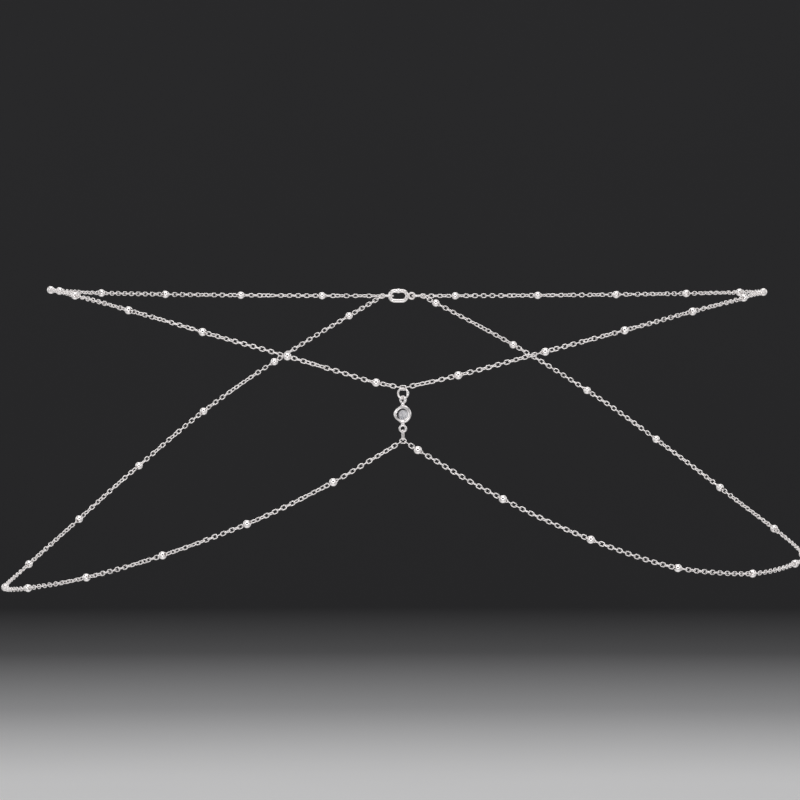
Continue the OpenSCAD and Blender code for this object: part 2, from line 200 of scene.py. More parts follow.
class Value:
    """A number that nodes work out, so that their maths reads as plain expressions."""

    def __init__(self, graph, socket):
        self.graph = graph
        self.socket = socket

    def math(self, operation, *values):
        return self.graph.node("ShaderNodeMath", {"operation": operation}, dict(enumerate(values)))["Value"]

    def __add__(self, other):
        return self.math("ADD", self, other)

    def __sub__(self, other):
        return self.math("SUBTRACT", self, other)

    def __mul__(self, other):
        return self.math("MULTIPLY", self, other)

    def __truediv__(self, other):
        return self.math("DIVIDE", self, other)

    def __rsub__(self, other):
        return self.math("SUBTRACT", other, self)

    def __pow__(self, other):
        return self.math("POWER", self, other)

    __radd__ = __add__
    __rmul__ = __mul__

    def at_most(self, other):
        return self.math("MINIMUM", self, other)

    def at_least(self, other):
        return self.math("MAXIMUM", self, other)


class Node:
    """An added node, whose outputs are read by name."""

    def __init__(self, graph, node):
        self.graph = graph
        self.node = node

    def __getitem__(self, key):
        return Value(self.graph, pick(self.node.outputs, key))


class Graph:
    """Adds nodes to one tree, each from its type, its settings and what its inputs hold."""

    def __init__(self, tree):
        self.tree = tree

    def node(self, kind, settings=None, inputs=None):
        new = self.tree.nodes.new(kind)
        for name, value in (settings or {}).items():
            if name == "stops":
                for i, (place, color) in enumerate(value):
                    stop = new.color_ramp.elements[i] if i < 2 else new.color_ramp.elements.new(place)
                    stop.position = place
                    stop.color = (*color, 1)
            else:
                setattr(new, name, value)
        for key, value in (inputs or {}).items():
            socket = pick(new.inputs, key)
            if isinstance(value, Value):
                self.tree.links.new(value.socket, socket)
            else:
                socket.default_value = value
        return Node(self, new)

    def split(self, vector):
        return self.node("ShaderNodeSeparateXYZ", {}, {"Vector": vector})


# Materials

class Finish(Graph):
    """A material round one Principled shader, on Object coordinates."""

    def __init__(self, name, **constants):
        self.material = bpy.data.materials.new(name)
        self.material.use_nodes = True
        super().__init__(self.material.node_tree)
        self.tree.nodes.clear()
        self.shader = self.node("ShaderNodeBsdfPrincipled", {}, constants)
        self.node("ShaderNodeOutputMaterial", {}, {"Surface": self.shader["BSDF"]})
        self.place = self.node("ShaderNodeTexCoord")["Object"]

    def noise(self, grain, detail=2, stretch=(1, 1, 1), roughness=0.5):
        """Noise whose grain is that many metres across, from 0 to 1."""
        scaled = self.node("ShaderNodeMapping", {}, {"Vector": self.place, "Scale": stretch})["Vector"]
        return self.node("ShaderNodeTexNoise", {}, {
            "Vector": scaled, "Scale": 1 / grain, "Detail": detail, "Roughness": roughness})["Fac"]

    def mix(self, factor, first, second):
        """Colour from a colour that varies to a plain one."""
        return self.node("ShaderNodeMix", {"data_type": "RGBA"}, {
            "Factor": factor, "A": first, "B": (*second, 1)})["Result"]

    def away_from(self, point, way):
        """How far along one axis a place on the piece is from a point."""
        return self.split(self.place)[way] - getattr(point, way.lower())

    def ramp(self, factor, stops):
        """Colour by the stops, of which the first two are the lowest and the highest."""
        return self.node("ShaderNodeValToRGB", {"stops": stops}, {"Fac": factor})["Color"]

    def bump(self, height, depth):
        """Normal of a surface raised by height times depth metres."""
        return self.node("ShaderNodeBump", {}, {
            "Height": height, "Strength": 1.0, "Distance": depth})["Normal"]

    def show(self, **inputs):
        for name, value in inputs.items():
            self.tree.links.new(value.socket, pick(self.shader.node.inputs, name.replace("_", " ")))
        return self.material


def silver(name, clean, worn, shine, haze, scratch_depth):
    """Polished silver-tone metal: fine scratches, soft uneven polish and a breath of tarnish."""
    finish = Finish(name, Metallic=1.0)
    tarnish = finish.noise(1.6 * MM, detail=3)
    polish = finish.noise(0.45 * MM, detail=4)
    scratches = finish.noise(0.05 * MM, detail=5, stretch=(1, 0.25, 0.6), roughness=0.65)
    return finish.show(
        Base_Color=finish.ramp(tarnish, [(0.30, worn), (0.62, clean)]),
        Roughness=shine + polish * haze + (1 - tarnish) * haze * 0.5,
        Normal=finish.bump(scratches, scratch_depth))


BRIGHT, DULL = (0.96, 0.925, 0.915), (0.82, 0.78, 0.77)
SCRATCHES = 0.0012 * MM
CHAIN_SILVER = silver("chain_silver", BRIGHT, DULL, 0.09, 0.12, SCRATCHES)
BEAD_SILVER = silver("bead_silver", (0.97, 0.935, 0.925), (0.88, 0.84, 0.83), 0.035, 0.07, 0.0005 * MM)
SETTING_SILVER = silver("setting_silver", (0.92, 0.89, 0.885), (0.74, 0.71, 0.71), 0.08, 0.14, SCRATCHES)
FINDING_SILVER = silver("finding_silver", BRIGHT, DULL, 0.10, 0.14, SCRATCHES)


STONE_PLACE = middle("crystal_stone")
# The shadow in the stone: where it starts and over how much it fills, as shares of the radius, and how
# much of it lies towards the top and towards the left
SHADE_FROM, SHADE_SPAN = 0.54, 0.16
SHADE_UP, SHADE_LEFT = 1.1, 0.9


def clear_crystal():
    """Clear cut glass, a little milky, with the setting's shadow under the lip at its upper left."""
    finish = Finish("clear_crystal", **{"Transmission Weight": 0.45, "IOR": 1.55})
    cloud = finish.noise(0.7 * MM, detail=2)
    across, up = (finish.away_from(STONE_PLACE, way) / STONE_R for way in ("X", "Z"))
    edge = (((across * across + up * up) ** 0.5 - SHADE_FROM) / SHADE_SPAN).at_most(1.0).at_least(0.0)
    side = (0.5 + up * SHADE_UP - across * SHADE_LEFT).at_most(1.0).at_least(0.0)
    glass = finish.ramp(cloud, [(0.36, (0.62, 0.62, 0.67)), (0.56, (0.99, 0.98, 1.0))])
    return finish.show(
        Base_Color=finish.mix(edge * side, glass, (0.02, 0.02, 0.025)),
        Roughness=0.04 + cloud * 0.06)


CRYSTAL = clear_crystal()

FLOOR_Z = -0.42
FADE_H = 0.15  # height over which the paper fades from the pale floor to the charcoal wall
GLOW_FROM, GLOW_SPAN = 0.6, 2.0  # where the paper starts to glow, away from the middle, and the reach over which the glow grows: painted light that keeps the far floor as bright as the middle


def shaded_paper():
    """Matt studio paper: a pale floor that glows far out, painted light that evens it with the lit middle,
    and that fades to a charcoal wall.
    """
    finish = Finish("shaded_paper", **{"Emission Strength": 0.85})
    mottle = finish.noise(0.35, detail=4)
    split = finish.split(finish.place)
    away = (split["X"] * split["X"] + split["Y"] * split["Y"]) ** 0.5
    # Painted light: lit is how much the paper glows, more the farther it is from the middle, not light from
    # below
    lit = ((away - GLOW_FROM) / GLOW_SPAN).at_most(1.0).at_least(0.0)
    shade = finish.ramp((split["Z"] - FLOOR_Z) / FADE_H, [
        (0.0, (0.50, 0.50, 0.505)), (1.0, (0.014, 0.014, 0.015)), (0.35, (0.22, 0.22, 0.225)),
        (0.7, (0.06, 0.06, 0.062))])
    paper = finish.mix(0.05 * mottle, shade, (0, 0, 0))
    # Emission Color carries the painted glow of the far paper
    return finish.show(
        Base_Color=paper,
        Emission_Color=finish.mix(1 - lit, paper, (0, 0, 0)),
        Roughness=0.75 + mottle * 0.1)


# Meshes

def add_object(name, data):
    made = bpy.data.objects.new(name, data)
    bpy.context.scene.collection.objects.link(made)
    return made


def add_mesh(name, points, faces, material=None, sharp=SHARP):
    """Closed mesh with its faces outwards, smooth but for edges sharper than the given angle."""
    mesh = bpy.data.meshes.new(name)
    mesh.from_pydata([tuple(p) for p in points], [], faces)
    shell = bmesh.new()
    shell.from_mesh(mesh)
    bmesh.ops.remove_doubles(shell, verts=shell.verts, dist=1e-7)
    bmesh.ops.recalc_face_normals(shell, faces=shell.faces)
    shell.to_mesh(mesh)
    shell.free()
    mesh.shade_smooth()
    mesh.set_sharp_from_angle(angle=sharp)
    if material:
        mesh.materials.append(material)
    return add_object(name, mesh)


def tube(path, radii, sides, flat, closed=True):
    """Points and faces of round wire along a path that lies across the direction flat."""
    count = len(path)
    rings = []
    for i, center in enumerate(path):
        before = path[i - 1] if closed or i else center
        after = path[(i + 1) % count] if closed or i + 1 < count else center
        side = (after - before).normalized().cross(flat).normalized()
        turns = [2 * math.pi * j / sides for j in range(sides)]
        rings.append([center + radii[i] * (math.cos(a) * flat + math.sin(a) * side) for a in turns])
    faces = []
    for i in range(count if closed else count - 1):
        a, b = i * sides, (i + 1) % count * sides
        faces += [(a + j, a + (j + 1) % sides, b + (j + 1) % sides, b + j) for j in range(sides)]
    if not closed:
        faces += [tuple(range(sides)), tuple((count - 1) * sides + j for j in range(sides))]
    return [p for ring in rings for p in ring], faces


def lathe(profile, sides, closed=False):
    """Points and faces of a profile of (radius, height) turned about Z, where an open one's ends lie."""
    rows = len(profile)
    points = [Vector((r * math.cos(a), r * math.sin(a), h))
              for a in (2 * math.pi * i / sides for i in range(sides)) for r, h in profile]
    faces = []
    for i in range(sides):
        a, b = i * rows, (i + 1) % sides * rows
        faces += [(a + j, b + j, b + (j + 1) % rows, a + (j + 1) % rows)
                  for j in range(rows if closed else rows - 1)]
    return points, faces


def placed(points, center, turn=0.0):
    """Points turned about the vertical and set at a place."""
    matrix = Matrix.Translation(center) @ Matrix.Rotation(turn, 4, "Z")
    return [matrix @ Vector(p) for p in points]


def joined(name, parts, material):
    """One closed shell of several overlapping ones."""
    whole = parts[0]
    for part in parts[1:]:
        cut = whole.modifiers.new("joined", "BOOLEAN")
        cut.operation = "UNION"
        cut.solver = "EXACT"
        cut.object = part
        graph = bpy.context.evaluated_depsgraph_get()
        mesh = bpy.data.meshes.new_from_object(whole.evaluated_get(graph), depsgraph=graph)
        whole.modifiers.remove(cut)
        whole.data = mesh
        bpy.data.objects.remove(part)
    whole.name = name
    whole.data.shade_smooth()
    whole.data.set_sharp_from_angle(angle=SHARP)
    whole.data.materials.clear()
    whole.data.materials.append(material)
    return whole


def stand_in(piece, slot, *nodes):
    """The piece stands for its solids, which it hides, and hangs from the root. Its slot is not used."""
    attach(piece, "root")
    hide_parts(*nodes)


# Routes of the strands

def slope(rows, i, j):
    return (rows[j][1] - rows[i][1]) / (rows[j][0] - rows[i][0])


def level_at(rows, turn):
    """Smooth curve through rows of (turn, level)."""
    i = max(k for k in range(len(rows) - 1) if k == 0 or rows[k][0] <= turn)
    step = rows[i + 1][0] - rows[i][0]
    t = (turn - rows[i][0]) / step
    start = slope(rows, max(i - 1, 0), i + 1) * step
    end = slope(rows, i, min(i + 2, len(rows) - 1)) * step
    rise = rows[i + 1][1] - rows[i][1]
    bend, turn_back = 3 * rise - 2 * start - end, start + end - 2 * rise
    return rows[i][1] + start * t + bend * t ** 2 + turn_back * t ** 3


def route_point(rows, side, spread, full, turn):
    """Point of a half strand, at a turn of 0 at centre front to 180 at the end ring."""
    sign = -1 if side == LEFT else 1
    z = level_at(rows, turn)
    down = -z / HIP_DROP
    half_w = (WAIST_W + (HIP_W - WAIST_W) * down) / 2 + sign * BODY_SHIFT
    behind = BACK_DEPTH + (HIP_BACK_DEPTH - BACK_DEPTH) * down + spread
    last = math.pi - math.asin(STRAND_END_X / (WAIST_W / 2 + sign * BODY_SHIFT))
    angle = turn / 180 * last
    before = FRONT_DEPTH * (1 + full * math.sin(angle) ** 2)
    depth = before if angle < QUARTER else behind
    return Vector((sign * half_w * math.sin(angle), -depth * math.cos(angle), z))


def levels(upper, side):
    """Rows of (turn, level) of a half strand."""
    if upper:
        return [(row[0], -FRONT_DIP * row[side]) for row in UPPER_ROUTE]
    middle_z = middle("lower_center_link").z
    return ([(row[0], middle_z - row[side] * (HIP_DROP + middle_z)) for row in LOWER_FRONT]
            + [(row[0], -HIP_DROP * row[side]) for row in LOWER_BACK])


class Path:
    """A row of points that is measured along its length."""

    def __init__(self, points):
        self.points = points
        self.lengths = [0.0]
        for a, b in zip(points, points[1:]):
            self.lengths.append(self.lengths[-1] + (b - a).length)
        self.total = self.lengths[-1]

    def at(self, length):
        i = max(k for k in range(len(self.points) - 1) if k == 0 or self.lengths[k] <= length)
        share = (length - self.lengths[i]) / (self.lengths[i + 1] - self.lengths[i])
        return self.points[i].lerp(self.points[i + 1], share)

    def nearest(self, point):
        """Length at which the path passes closest to a point."""
        i = min(range(len(self.points)), key=lambda k: (self.points[k] - point).length)
        i = min(max(i, 1), len(self.points) - 2)
        ahead = (self.points[i + 1] - self.points[i - 1]).normalized()
        return self.lengths[i] + (point - self.points[i]).dot(ahead)


HALF_HOLD = LINK_LEN / 2 - LINK_WIRE / 2  # from a link's middle to the middle of its end's wire
HOOKED = LINK_WIRE + PLAY  # between the middles of two wires that hold each other
EASE = 5 * MM  # length over which a strand eases from its first link onto its route
PAST_STEP = 0.01 * MM  # how finely the place of its end, past the end ring's wire, is looked for


def off_ring(place):
    """How far a place, given from the ring's middle, is from the middle of the ring's wire."""
    return math.hypot(math.hypot(place.x, place.y) - (END_RING_D - END_RING_WIRE) / 2, place.z)


class HalfStrand:
    """One half of a strand: the line that its links follow, and where links and beads sit on it."""

    def __init__(self, upper, side, full, lead):
        sign = -1 if side == LEFT else 1
        spread = STRAND_SPREAD if upper else -STRAND_SPREAD
        rows = levels(upper, side)
        turns = [180 * i / ROUTE_STEPS for i in range(ROUTE_STEPS + 1)]
        route = Path([route_point(rows, side, spread, full, turn) for turn in turns])
        length, height, turn = (CARRIER_LEN, CARRIER_H, -CARRIER_TURN) if upper else (LOWER_LEN, LOWER_H, 0)
        reach = length / 2 * math.cos(turn) + LINK_PITCH / 2 - LINK_WIRE
        run = UPPER_RUN if upper else LOWER_RUN
        beads, station = [], reach + (lead - 1) * LINK_PITCH + BEAD_REACH
        while station < route.total - BEAD_REACH - END_RING_WIRE:
            beads.append(route.at(station))
            station += (run - 1) * LINK_PITCH + 2 * BEAD_REACH

        # The first link hangs inside the bend of the middle link
        center = middle("upper_center_link" if upper else "lower_center_link")
        outwards = Vector((sign * math.cos(turn), sign * math.sin(turn), 0))
        pull = (route.at(EASE) - route.at(0)).normalized()
        pull = (outwards * pull.dot(outwards) + Vector((0, 0, pull.z))).normalized()
        bend = center + outwards * (length - height) / 2
        first = bend + pull * ((height - LINK_WIRE) / 2 - HOOKED - FIRST_PLAY)
        start = route.nearest(first)
        gap = first - route.at(start)
        points = [first]
        for point, s in zip(route.points, route.lengths):
            if s > start + LINK_WIRE:
                t = min((s - start) / EASE, 1)
                points.append(point + gap * (1 - t) ** 2 * (1 + 2 * t))

        # The last link goes on past the end ring's wire until its own end is clear of it
        ahead = (points[-1] - points[-2]).normalized()
        ring = middle("left_end_ring" if side == LEFT else "right_end_ring")
        past = LINK_WIRE
        while off_ring(points[-1] + ahead * past - ring) < (LINK_WIRE + END_RING_WIRE) / 2 + PLAY:
            past += PAST_STEP
        points.append(points[-1] + ahead * past)
        self.path = Path(points)
        self.beads = [self.path.nearest(bead) for bead in beads]
        self.place_links(lead, run)

    def place_links(self, lead, run):
        """Stations of the links, with their quarter turns: one more for each link, three past a bead."""
        stops = [HALF_HOLD] + [s + way * BEAD_REACH for s in self.beads for way in (-1, 1)]
        stops.append(self.path.total - HALF_HOLD)
        last = math.ceil((stops[-1] - stops[-2]) / MAX_PITCH)
        counts = [lead - 1] + [run - 1] * (len(self.beads) - 1) + [last]
        self.links, self.ball_links, quarter = [], [], 0
        for start, end, gaps in zip(stops[::2], stops[1::2], counts):
            for i in range(gaps + 1):
                self.links.append((start + (end - start) * i / gaps, quarter + i))
            self.ball_links.append((end + BEAD_REACH, quarter + gaps + 1.5))
            quarter += gaps + 3
        self.ball_links.pop()
        if self.links[-1][1] % 2 == 0:
            self.links = [self.untwisted(*link) for link in self.links]
            self.ball_links = [self.untwisted(*link) for link in self.ball_links]

    def untwisted(self, station, quarter):
        """A quarter turn more towards the end, so that the last link stands on edge in the end ring."""
        return station, quarter + min(max((station - self.path.total) / UNTWIST + 1, 0), 1)


# Geometry trees for what repeats along a strand

class Shape(Graph):
    """A geometry tree with named inputs, which ends in one mesh."""

    def __init__(self, name, inputs):
        super().__init__(bpy.data.node_groups.new(name, "GeometryNodeTree"))
        face = self.tree.interface
        self.keys = {}
        for label, kind in inputs.items():
            self.keys[label] = face.new_socket(name=label, in_out="INPUT", socket_type="NodeSocket" + kind)
        face.new_socket(name="Mesh", in_out="OUTPUT", socket_type="NodeSocketGeometry")
        self.given = self.node("NodeGroupInput")

    def position(self):
        return self.node("GeometryNodeInputPosition")["Position"]

    def attribute(self, name):
        return self.node("GeometryNodeInputNamedAttribute", {"data_type": "FLOAT"}, {
            "Name": name})["Attribute"]

    def moved(self, shape, **how):
        """A shape with its points at a new position, or moved by an offset."""
        return self.node("GeometryNodeSetPosition", {}, {"Geometry": shape, **how})["Geometry"]

    def end(self, mesh):
        self.node("NodeGroupOutput", {}, {"Mesh": mesh})

    def grow(self, name, data, values):
        """Object made by this tree from some data and values for its inputs."""
        made = add_object(name, data)
        modifier = made.modifiers.new(name, "NODES")
        modifier.node_group = self.tree
        for label, value in values.items():
            modifier[self.keys[label].identifier] = value
        graph = bpy.context.evaluated_depsgraph_get()
        mesh = bpy.data.meshes.new_from_object(made.evaluated_get(graph), depsgraph=graph)
        made.modifiers.remove(modifier)
        made.data = mesh
        return made


LINK_SIZES = {"Length": "Float", "Width": "Float", "Wire": "Float", "Bends": "Int", "Sides": "Int",
              "Twist": "Float"}


def wire_link_tree():
    """Oval link of round wire along X, flat in XY, which may twist about X."""
    tree = Shape("Wire link", LINK_SIZES)
    given = tree.given
    radius = (given["Width"] - given["Wire"]) / 2
    circle = tree.node("GeometryNodeCurvePrimitiveCircle", {}, {
        "Resolution": 64, "Radius": radius})["Curve"]
    along = tree.split(tree.position())["X"]
    shift = along.math("SIGN", along) * (given["Length"] - given["Width"]) / 2
    oval = tree.moved(circle, Offset=tree.node("ShaderNodeCombineXYZ", {}, {"X": shift})["Vector"])
    even = tree.node("GeometryNodeResampleCurve", {}, {"Curve": oval, "Count": given["Bends"]})["Curve"]
    share = (along / given["Length"] * BALL_LINK_TWIST).at_least(-0.5).at_most(0.5)
    turned = tree.node("ShaderNodeVectorRotate", {"rotation_type": "X_AXIS"}, {
        "Vector": tree.position(), "Angle": share * given["Twist"]})["Vector"]
    bent = tree.moved(even, Position=turned)
    section = tree.node("GeometryNodeCurvePrimitiveCircle", {}, {
        "Resolution": given["Sides"], "Radius": given["Wire"] / 2})["Curve"]
    tree.end(tree.node("GeometryNodeCurveToMesh", {}, {"Curve": bent, "Profile Curve": section})["Mesh"])
    return tree


def strand_tree(name, inputs, build):
    """Tree that sets a shape at each station of a strand. Inputs and build say what the shape is.

    Each vertex of the mesh that goes in holds its station and its quarter turns in attributes.
    """
    tree = Shape(name, {
        "Geometry": "Geometry", "Strand": "Object", **inputs, "Slow twist": "Float",
        "Twist length": "Float", "Ease": "Float", "Play": "Float", "Seed": "Float", "Material": "Material"})
    given = tree.given
    line = tree.node("GeometryNodeObjectInfo", {}, {"Object": given["Strand"]})["Geometry"]
    line = tree.node("GeometryNodeSetCurveNormal", {"mode": "Z_UP"}, {"Curve": line})["Curve"]
    total = tree.node("GeometryNodeCurveLength", {}, {"Curve": line})["Length"]
    station, quarter = tree.attribute("station"), tree.attribute("quarter")
    on_line = tree.node("GeometryNodeSampleCurve", {"mode": "LENGTH"}, {"Curves": line, "Length": station})
    points = tree.moved(given["Geometry"], Position=on_line["Position"])
    facing = tree.node("FunctionNodeAxesToRotation", {"primary_axis": "X", "secondary_axis": "Y"}, {
        "Primary Axis": on_line["Tangent"], "Secondary Axis": on_line["Normal"]})["Rotation"]
    slow = tree.node("ShaderNodeTexNoise", {"noise_dimensions": "1D"}, {
        "W": station / given["Twist length"] + given["Seed"], "Scale": 1.0, "Detail": 0.0})["Fac"]
    held = (station / given["Ease"]).at_most((total - station) / given["Ease"]).at_most(1.0)
    quick = tree.node("ShaderNodeTexWhiteNoise", {"noise_dimensions": "1D"}, {
        "W": quarter + given["Seed"]})["Value"]
    by_chance = (slow - 0.5) * given["Slow twist"] + (quick - 0.5) * given["Play"]
    roll = quarter * QUARTER + by_chance * 2 * held
    rolled = tree.node("FunctionNodeAxisAngleToRotation", {}, {
        "Axis": (1, 0, 0), "Angle": roll})["Rotation"]
    facing = tree.node("FunctionNodeRotateRotation", {"rotation_space": "LOCAL"}, {
        "Rotation": facing, "Rotate By": rolled})["Rotation"]
    copies = tree.node("GeometryNodeInstanceOnPoints", {}, {
        "Points": points, "Instance": build(tree), "Rotation": facing})["Instances"]
    mesh = tree.node("GeometryNodeRealizeInstances", {}, {"Geometry": copies})["Geometry"]
    mesh = tree.node("GeometryNodeSetShadeSmooth", {}, {"Geometry": mesh})["Geometry"]
    tree.end(tree.node("GeometryNodeSetMaterial", {}, {
        "Geometry": mesh, "Material": given["Material"]})["Geometry"])
    return tree


WIRE_LINK = wire_link_tree()


def link_inside(tree):
    """The wire link, in the sizes that the strand tree is given."""
    sizes = {label: tree.given[label] for label in LINK_SIZES}
    return tree.node("GeometryNodeGroup", {"node_tree": WIRE_LINK.tree}, sizes)["Mesh"]


def shape_inside(tree):
    """The mesh of the object that the strand tree is given."""
    return tree.node("GeometryNodeObjectInfo", {}, {"Object": tree.given["Shape"]})["Geometry"]


LINKS_ALONG = strand_tree("Links along a strand", LINK_SIZES, link_inside)
BEADS_ALONG = strand_tree("Beads along a strand", {"Shape": "Object"}, shape_inside)


def stations_mesh(name, stations):
    """Loose points that hold each station and its quarter turns."""
    mesh = bpy.data.meshes.new(name)
    mesh.from_pydata([(0, 0, 0)] * len(stations), [], [])
    for label, column in (("station", 0), ("quarter", 1)):
        values = mesh.attributes.new(label, "FLOAT", "POINT")
        values.data.foreach_set("value", [s[column] for s in stations])
    return mesh


def line_object(name, points):
    curve = bpy.data.curves.new(name, "CURVE")
    curve.dimensions = "3D"
    line = curve.splines.new("POLY")
    line.points.add(len(points) - 1)
    for slot, point in zip(line.points, points):
        slot.co = (*point, 1)
    return add_object(name, curve)


def drilled_bead():
    """Drilled ball bead along X, with a rounded lip at each end of its bore."""
    bore, outer = BEAD_BORE_D / 2, BEAD_D / 2
    edge = math.asin((bore + BEAD_LIP) / outer)
    arc = [edge + (math.pi - 2 * edge) * i / BEAD_ROWS for i in range(BEAD_ROWS + 1)]
    ball = [(outer * math.sin(a), outer * math.cos(a)) for a in arc]
    top = ball[0][1]
    lip = [(bore + BEAD_LIP * off, top - BEAD_LIP * deep) for off, deep in LIP_ROWS]
    profile = ball + [(r, -h) for r, h in lip] + lip[::-1]
    points, faces = lathe(profile, BEAD_SIDES, closed=True)
    points = [Vector((p.z, p.y, -p.x)) for p in points]
    return add_mesh("drilled_bead", points, faces)


def half_strand(name, half, nodes, seed, twist):
    """Links and beads of one half strand."""
    line = line_object(name + "_line", half.path.points)
    common = {"Strand": line, "Slow twist": twist, "Twist length": TWIST_LENGTH, "Ease": TWIST_EASE,
              "Seed": seed, "Play": LINK_TURN_PLAY}
    wire = {**common, "Wire": LINK_WIRE, "Sides": LINK_SIDES, "Material": CHAIN_SILVER}
    links = LINKS_ALONG.grow(name + "_links", stations_mesh(name, half.links), {
        **wire, "Length": LINK_LEN, "Width": LINK_W, "Bends": LINK_BENDS, "Twist": 0.0})
    ball_len = 2 * (BEAD_REACH - HALF_HOLD + HOOKED) + LINK_WIRE
    ball_links = LINKS_ALONG.grow(name + "_ball_links", stations_mesh(name, half.ball_links), {
        **wire, "Length": ball_len, "Width": BALL_LINK_W, "Bends": BALL_LINK_BENDS, "Twist": QUARTER})
    beads = BEADS_ALONG.grow(name + "_beads", stations_mesh(name, half.ball_links), {
        **common, "Shape": BEAD, "Material": BEAD_SILVER})
    bpy.data.objects.remove(line)

    shell = bmesh.new()
    shell.from_mesh(links.data)
    shell.from_mesh(ball_links.data)
    bmesh.ops.recalc_face_normals(shell, faces=shell.faces)
    shell.to_mesh(links.data)
    shell.free()
    bpy.data.objects.remove(ball_links)
    stand_in(links, "chain", nodes[0])
    stand_in(beads, "polished_beads", nodes[1])


# Half strands: name, upper or not, side, fullness, links before the first bead, seed, slow twist in degrees
HALF_STRANDS = [
    ("upper_left", True, LEFT, UPPER_LEFT_FULL, UPPER_LEFT_LEAD, 39.0, 110),
    ("upper_right", True, RIGHT, UPPER_RIGHT_FULL, UPPER_RIGHT_LEAD, 31.0, 120),
    ("lower_left", False, LEFT, LOWER_LEFT_FULL, LOWER_LEFT_LEAD, 2.0, 110),
    ("lower_right", False, RIGHT, LOWER_RIGHT_FULL, LOWER_RIGHT_LEAD, 31.0, 12)]
BEAD = drilled_bead()
for name, upper, side, full, lead, seed, twist in HALF_STRANDS:
    strand, hand = name.split("_")
    half = HalfStrand(upper, side, full, lead)
    nodes = f"{strand}_chain_{hand}", f"{strand}_beads_{hand}"
    half_strand(name, half, nodes, seed, math.radians(twist))
bpy.data.objects.remove(BEAD)


# Pieces at centre front

UP = Vector((0, 0, 1))
FORWARD = Vector((0, -1, 0))


def oval_line(length, height, wire, bends):
    """Middle line of an oval link in the XZ plane, its length along X."""
    radius, straight = (height - wire) / 2, length - height
    points = []
    for i in range(bends):
        a = 2 * math.pi * (i + 0.5) / bends - QUARTER
        side = math.copysign(straight / 2, math.cos(a))
        points.append(Vector((side + radius * math.cos(a), 0, radius * math.sin(a))))
    return points


def arc_line(radius, bends, slit=0.0):
    """Middle line of a ring in the XZ plane, cut at its right where it has a slit."""
    open_turn = slit / radius
    steps = bends - 1 if slit else bends
    turns = [open_turn / 2 + (2 * math.pi - open_turn) * i / steps for i in range(bends)]
    return [Vector((radius * math.cos(a), 0, radius * math.sin(a))) for a in turns]


def plain_wire(line, wire, sides):
    """Points and faces of round wire of one thickness along a closed line in the XZ plane."""
    return tube(line, [wire / 2] * len(line), sides, FORWARD)


def wire_link(name, line, node, turn):
    """Link of chain wire that stands for a solid link."""
    points, faces = plain_wire(line, LINK_WIRE, PLAIN_SIDES)
    made = add_mesh(name, placed(points, middle(node), turn), faces, CHAIN_SILVER, WIRE_SHARP)
    stand_in(made, "chain", node)


def front_links():
    """The link at the middle of either strand, and the upright one that hangs from the setting."""
    line = oval_line(CARRIER_LEN, CARRIER_H, LINK_WIRE, PLAIN_BENDS)
    wire_link("upper_middle_link", line, "upper_center_link", -CARRIER_TURN)
    line = oval_line(LOWER_LEN, LOWER_H, LINK_WIRE, PLAIN_BENDS)
    wire_link("lower_middle_link", line, "lower_center_link", 0)
    upright = [Vector((p.z, p.y, p.x)) for p in oval_line(DROP_LEN, DROP_W, LINK_WIRE, PLAIN_BENDS)]
    wire_link("hanging_link", upright, "drop_link", DROP_TURN)


def jump_ring():
    """Ring of round wire, its cut ends pressed together at the right and a little swollen there."""
    line = arc_line((RING_D - RING_WIRE) / 2, RING_BENDS, RING_SLIT)
    radii = []
    for i in range(len(line)):
        from_slit = min(i, len(line) - 1 - i) / len(line) * 2 * math.pi
        radii.append(RING_WIRE / 2 + KNUCKLE * math.exp(-(from_slit / KNUCKLE_SPAN) ** 2))
    points, faces = tube(line, radii, RING_SIDES, FORWARD, closed=False)
    points = placed(points, middle("center_jump_ring"), RING_TURN)
    ring = add_mesh("jump_ring", points, faces, FINDING_SILVER, WIRE_SHARP)
    stand_in(ring, "findings", "center_jump_ring")


def cup_profile():
    """Section of the cup from its axis outwards and back: radius, height in front of the girdle."""
    back = -PAVILION_H - STONE_GAP - CUP_FLOOR
    seat = STONE_R + STONE_GAP
    outer = seat + CUP_WALL
    rim_r = CUP_WALL / 2
    window = STONE_R - RIM_OVER
    crown = CROWN_H / (STONE_R - TABLE_R) * RIM_OVER
    base = [(0, back)] + [(outer * share, back + height) for share, height in CUP_BACK]
    wall = [(outer * (WALL_FROM + (1 - WALL_FROM) * math.sin(t * QUARTER)), back * WALL_LOW * (1 - t))
            for t in CUP_WALL_ROWS]
    arc = [math.radians(a) for a in RIM_TURNS]
    rim = [(outer - rim_r + rim_r * math.cos(a), CROWN_H * RIM_AT + rim_r * math.sin(a)) for a in arc]
    lip = [(window + LIP_IN, crown + LIP_UP), (window, crown + 2 * STONE_GAP)]
    inside = [(seat, 2 * STONE_GAP), (seat, -2 * STONE_GAP), (2 * STONE_GAP, back + CUP_FLOOR),
              (0, back + CUP_FLOOR)]
    return base + wall + rim + lip + inside


def bezel_cup(center):
    """Cup pressed over the stone by hand, so that its outline is not quite round."""
    points, faces = lathe(cup_profile(), CUP_SIDES)
    inner = STONE_R + STONE_GAP
    shaped = []
    for p in points:
        radius, turn = math.hypot(p.x, p.y), math.atan2(p.y, p.x)
        outside = min(max((radius - inner) / CUP_WALL, 0), 1)
        wander = sum(height * math.cos(bumps * turn - start) for bumps, height, start in CUP_WAVES)
        grown = radius + outside * wander
        scale = grown / radius if radius > 1e-6 else 1
        shaped.append(Vector((p.x * scale, -p.z, p.y * scale)))
    return add_mesh("bezel_cup", placed(shaped, center, -CUP_TURN), faces)


